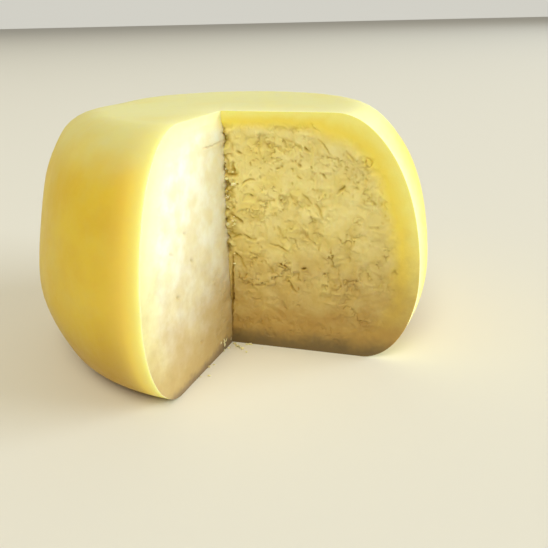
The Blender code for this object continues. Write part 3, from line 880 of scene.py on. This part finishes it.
# Paler on top: partly a painted sheen of light from above, partly a drier skin.
cloudy_height = add_share(tree, noise_node(tree, place, TOP_CLOUD, detail=4.0), CLOUDY_RISE, height)
on_top = ramp(tree, cloudy_height, *PALE_TOP)
colour = mix_colours(tree, on_top, colour, RIND_TOP)
colour = mix_colours(tree, near_cut, colour, RIND_PAINTED_GLOW)
tree.links.new(colour, shader.inputs["Base Color"])
gloss = noise_node(tree, place, GLOSS_PATCH, detail=3.0)
roughness = add_share(tree, gloss, GLOSS_PATCH_SHARE, RIND_ROUGHNESS)
roughness = add_share(tree, on_top, TOP_DULLNESS, roughness)
grain = noise_node(tree, place, GLOSS_GRAIN, detail=3.0)
tree.links.new(add_share(tree, grain, GLOSS_GRAIN_SHARE, roughness), shader.inputs["Roughness"])
normal = add_bump(tree, noise_node(tree, place, DIMPLE, detail=3.0), strength=0.30, distance=0.0006)
pores = noise_node(tree, place, PORE, detail=3.0)
normal = add_bump(tree, pores, strength=0.25, distance=0.0001, below=normal)
tree.links.new(normal, shader.inputs["Normal"])
shader.inputs["Specular IOR Level"].default_value = 0.5
shader.inputs["Subsurface Weight"].default_value = 1.0
shader.inputs["Subsurface Radius"].default_value = RIND_LIGHT_DEPTH
shader.inputs["Subsurface Scale"].default_value = 1.0
cheese_mesh.materials.append(rind)

# The paste. Cream-yellow pressed curd, golden for a few millimetres under the rind. Its colour is painted
# darker and browner low down, as shade and warm bounce light from below, and darker in gaps and hollows as
# painted shade. A dark line runs along the foot, partly the base's own rind and partly painted shadow where
# it meets the floor. On the right cut it is torn and matt, its colours deeper and more ochre partly as
# painted shade and bounce light; on the left one the blade smeared it smooth, and its paler colours are
# partly painted light.
COLOUR_SOCKETS = ("Cream", "Deep", "Low", "Crevice Shade", "Gold", "Band", "Foot")
# Deeper and more ochre than the smeared cut's colours, partly as painted shade and bounce light between the
# cuts.
TORN_COLOURS = {
    "Cream": (0.86, 0.76, 0.345, 1.0),
    "Deep": (0.80, 0.67, 0.235, 1.0),
    # painted shade and warm bounce light low down
    "Low": (0.44, 0.27, 0.062, 1.0),
    # painted shade in gaps and hollows
    "Crevice Shade": (0.56, 0.40, 0.055, 1.0),
    "Gold": (0.94, 0.76, 0.12, 1.0),
    "Band": (0.95, 0.87, 0.27, 1.0),
    "Foot": (0.18, 0.12, 0.042, 1.0),
}
# Paler than the torn cut's colours, partly as painted light, where the light falls full on the left cut.
SMEARED_COLOURS = {
    "Cream": (0.90, 0.88, 0.70, 1.0),
    "Deep": (0.83, 0.75, 0.47, 1.0),
    # painted shade and warm bounce light low down
    "Low": (0.48, 0.32, 0.105, 1.0),
    # painted shade in gaps and hollows
    "Crevice Shade": (0.42, 0.30, 0.11, 1.0),
    "Gold": (0.88, 0.82, 0.46, 1.0),
    "Band": (0.82, 0.77, 0.37, 1.0),
    "Foot": (0.22, 0.14, 0.06, 1.0),
}
TONE_CLOUD = 0.008
TONE_EDGES = (0.32, 0.68)
BAND_CLOUD = 0.007
BAND_WAVER = 0.0050
BAND_END = (0.0030, 0.0090)  # the band below the skin turns golden between these depths, its waver added
GOLD_END = (0.0085, 0.0155)  # and the gold turns to cream between these
LOW_CLOUD = 0.010
LOW_WAVER = 0.044
LOW_PASTE = (0.022, 0.088)  # the painted shade low down gives way between these heights, its waver added
PASTE_LIGHT_DEPTH = (0.0014, 0.0010, 0.0005)
TORN_ROUGHNESS = 0.6
TORN_FLECK = 0.0009
SMEARED_ROUGHNESS = 0.5
SMEAR_SIZE = 0.0035
STREAK_WIDTH = 0.0016
STREAK_STRETCH = (0.09, 1.0, 1.0)  # a streak changes this fast along the blade's way and across it
STREAK_RISE = math.radians(13)  # the blade moved outwards and a little up


def make_paste_group():
    """Puts out the colour of the paste at a place on a cut, mixed from the colours that go in."""
    group = bpy.data.node_groups.new("paste_colour", "ShaderNodeTree")
    for name in COLOUR_SOCKETS:
        group.interface.new_socket(name, in_out="INPUT", socket_type="NodeSocketColor")
    group.interface.new_socket("Color", in_out="OUTPUT", socket_type="NodeSocketColor")
    colours = group.nodes.new("NodeGroupInput").outputs
    place = object_place(group)
    tone = ramp(group, noise_node(group, place, TONE_CLOUD, detail=4.0), *TONE_EDGES)
    colour = mix_colours(group, tone, colours["Deep"], colours["Cream"])
    # Painted shade in gaps, cracks, tears and hollows.
    colour = mix_colours(group, attribute_value(group, "crevice"), colour, colours["Crevice Shade"])
    depth = attribute_value(group, "rind_depth")
    cloudy_depth = add_share(group, noise_node(group, place, BAND_CLOUD, detail=4.0), BAND_WAVER, depth)
    colour = mix_colours(group, ramp(group, cloudy_depth, *GOLD_END), colours["Gold"], colour)
    colour = mix_colours(group, ramp(group, cloudy_depth, *BAND_END), colours["Band"], colour)
    # Painted shade and warm bounce light: the paste is darker and browner low down.
    low_cloud = noise_node(group, place, LOW_CLOUD, detail=5.0, roughness=0.6)
    cloudy_height = add_share(group, low_cloud, LOW_WAVER, height_of(group, place))
    colour = mix_colours(group, ramp(group, cloudy_height, *LOW_PASTE), colours["Low"], colour)
    # The foot's dark line: partly the base's own rind, partly painted shadow where the cut meets the floor.
    colour = mix_colours(group, attribute_value(group, "foot"), colour, colours["Foot"])
    group.links.new(colour, group.nodes.new("NodeGroupOutput").inputs["Color"])
    return group


def make_paste(name, colours, roughness):
    """A paste material with its own colours. It gives back the material and its shader."""
    material, shader = new_material(name)
    tree = material.node_tree
    mixer = tree.nodes.new("ShaderNodeGroup")
    mixer.node_tree = paste_group
    for socket, colour in colours.items():
        mixer.inputs[socket].default_value = colour
    tree.links.new(mixer.outputs["Color"], shader.inputs["Base Color"])
    shader.inputs["Roughness"].default_value = roughness
    shader.inputs["Subsurface Weight"].default_value = 0.5
    shader.inputs["Subsurface Radius"].default_value = PASTE_LIGHT_DEPTH
    shader.inputs["Subsurface Scale"].default_value = 1.0
    return material, shader


paste_group = make_paste_group()
torn_paste, shader = make_paste("torn_paste", TORN_COLOURS, TORN_ROUGHNESS)
tree = torn_paste.node_tree
flecks = noise_node(tree, object_place(tree), TORN_FLECK, detail=4.0, roughness=0.6)
tree.links.new(add_bump(tree, flecks, strength=0.5, distance=0.0002), shader.inputs["Normal"])
cheese_mesh.materials.append(torn_paste)

smeared_paste, shader = make_paste("smeared_paste", SMEARED_COLOURS, SMEARED_ROUGHNESS)
tree = smeared_paste.node_tree
place = object_place(tree)
to_cut = tree.nodes.new("ShaderNodeVectorRotate")
to_cut.rotation_type = "EULER_XYZ"
to_cut.inputs["Rotation"].default_value = (0.0, 0.0, -LEFT_CUT_ANGLE)
tree.links.new(place, to_cut.inputs["Vector"])
to_streaks = tree.nodes.new("ShaderNodeMapping")
to_streaks.inputs["Rotation"].default_value = (0.0, STREAK_RISE, 0.0)
to_streaks.inputs["Scale"].default_value = STREAK_STRETCH
tree.links.new(to_cut.outputs["Vector"], to_streaks.inputs["Vector"])
streaks = noise_node(tree, to_streaks.outputs["Vector"], STREAK_WIDTH, detail=3.0, roughness=0.6)
normal = add_bump(tree, streaks, strength=0.50, distance=0.0003)
smears = noise_node(tree, place, SMEAR_SIZE, detail=4.0, roughness=0.6)
normal = add_bump(tree, smears, strength=0.25, distance=0.0006, below=normal)
tree.links.new(normal, shader.inputs["Normal"])
cheese_mesh.materials.append(smeared_paste)

# Crumbs. Bits of paste that the knife pulled out. They lie on the floor along the foot of both cuts and in
# the corner, some still cling to the torn seam along the cut line, and a few thin flakes stick to the left
# cut.
CRUMB_SEED = 21
Strewn = namedtuple("Strewn", "count angle near far size")
STREWN = (
    Strewn(count=12, angle=-65, near=0.0020, far=0.012, size=0.0010),
    Strewn(count=12, angle=-108, near=0.006, far=0.034, size=0.0009),
    Strewn(count=9, angle=-20, near=0.006, far=0.045, size=0.0008),
)
STREWN_SIZES = (0.5, 1.4)
STREWN_TURNS = (-8, 8)
STREWN_CROWDING = 1.5  # above 1, more of them lie near the cut line
CRUMB_STRETCHES = ((0.8, 1.5), (0.6, 1.0), (0.5, 0.8))
CRUMB_TILTS = (-0.5, 0.5)
CRUMB_KNOBS = ((0.7, 1.8), (0.4, 4.5))  # (height, knobs across the crumb)
CRUMB_SHIFTS = (0, 9)  # sets the knobs of one crumb apart from the next one's
CLINGING = 18
CLINGING_SIZES = (0.0006, 0.0018)
CLINGING_HEIGHTS = (0.034, 0.084)
CLINGING_TURNS = (0.05, 0.25)
CLINGING_REACHES = (0.0003, 0.0045)
FLAKES = 6
FLAKE_SIZES = (0.0008, 0.0018)
FLAKE_HEIGHTS = (0.0015, 0.0050)
FLAKE_REACHES = (0.001, 0.012)
FLAKE_TILTS = (-0.9, 0.3)
FLAKE_TURN = 0.02
FLAKE_STRETCH = Vector((0.45, 0.30, 1.9))
CRUMB_RIND_DEPTH = 3 * PASTE_DEPTH  # they come from well inside the golden band
CRUMB_COLOURS = {
    "Cream": (0.87, 0.80, 0.50, 1.0),
    "Deep": (0.82, 0.72, 0.38, 1.0),
    "Low": (0.82, 0.72, 0.38, 1.0),
}


def on_ray(angle, reach, height=0.0):
    """The place at a reach from the cut line, in the direction of an angle."""
    place = (CUT_LINE + direction(angle) * reach).to_3d()
    place.z = height
    return place


def add_crumb(bm, place, size, draw):
    """One irregular bit of paste round its place."""
    made = bmesh.ops.create_icosphere(bm, subdivisions=2, radius=size / 2)
    stretch = Vector([draw.uniform(*limits) for limits in CRUMB_STRETCHES])
    turn = Matrix.Rotation(draw.uniform(0, math.tau), 3, "Z")
    turn = turn @ Matrix.Rotation(draw.uniform(*CRUMB_TILTS), 3, "X")
    shift = Vector([draw.uniform(*CRUMB_SHIFTS) for _ in range(3)])
    for vert in made["verts"]:
        knobs = 1.0
        for rise, across in CRUMB_KNOBS:
            knobs += rise * noise.noise(vert.co / size * across + shift)
        vert.co = place + turn @ (vert.co * knobs * stretch)
    return made["verts"]


def rest_on_floor(verts):
    """Lifts or lowers a crumb until its lowest vertex touches the floor."""
    lowest = min(vert.co.z for vert in verts)
    for vert in verts:
        vert.co.z -= lowest


crumb_paste = make_paste("crumb_paste", CRUMB_COLOURS, TORN_ROUGHNESS)[0]
bm = bmesh.new()
crumb_depth_layer = bm.verts.layers.float.new("rind_depth")
draw = random.Random(CRUMB_SEED)
for patch in STREWN:
    for _ in range(patch.count):
        size = patch.size * draw.uniform(*STREWN_SIZES)
        angle = math.radians(patch.angle + draw.uniform(*STREWN_TURNS))
        reach = between(patch.near, patch.far, draw.random() ** STREWN_CROWDING)
        rest_on_floor(add_crumb(bm, on_ray(angle, reach), size, draw))
for _ in range(CLINGING):
    size = between(*CLINGING_SIZES, draw.random() ** 2)
    height = draw.uniform(*CLINGING_HEIGHTS)
    angle = RIGHT_CUT_ANGLE - draw.uniform(*CLINGING_TURNS)
    add_crumb(bm, on_ray(angle, draw.uniform(*CLINGING_REACHES), height), size, draw)
for _ in range(FLAKES):
    height = draw.uniform(*FLAKE_HEIGHTS)
    place = on_ray(LEFT_CUT_ANGLE + FLAKE_TURN, draw.uniform(*FLAKE_REACHES), height)
    flake = add_crumb(bm, Vector(), draw.uniform(*FLAKE_SIZES), draw)
    turn = Matrix.Rotation(draw.uniform(*FLAKE_TILTS), 4, "Y") @ Matrix.Diagonal(FLAKE_STRETCH).to_4x4()
    turn = Matrix.Rotation(LEFT_CUT_ANGLE, 4, "Z") @ turn
    bmesh.ops.transform(bm, matrix=Matrix.Translation(place) @ turn, verts=flake)
for vert in bm.verts:
    vert[crumb_depth_layer] = CRUMB_RIND_DEPTH
for face in bm.faces:
    face.smooth = True
crumb_mesh = make_mesh(bm, "crumbs")
crumb_mesh.materials.append(crumb_paste)
crumbs = add_object("crumbs", crumb_mesh)
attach(crumbs, "root")
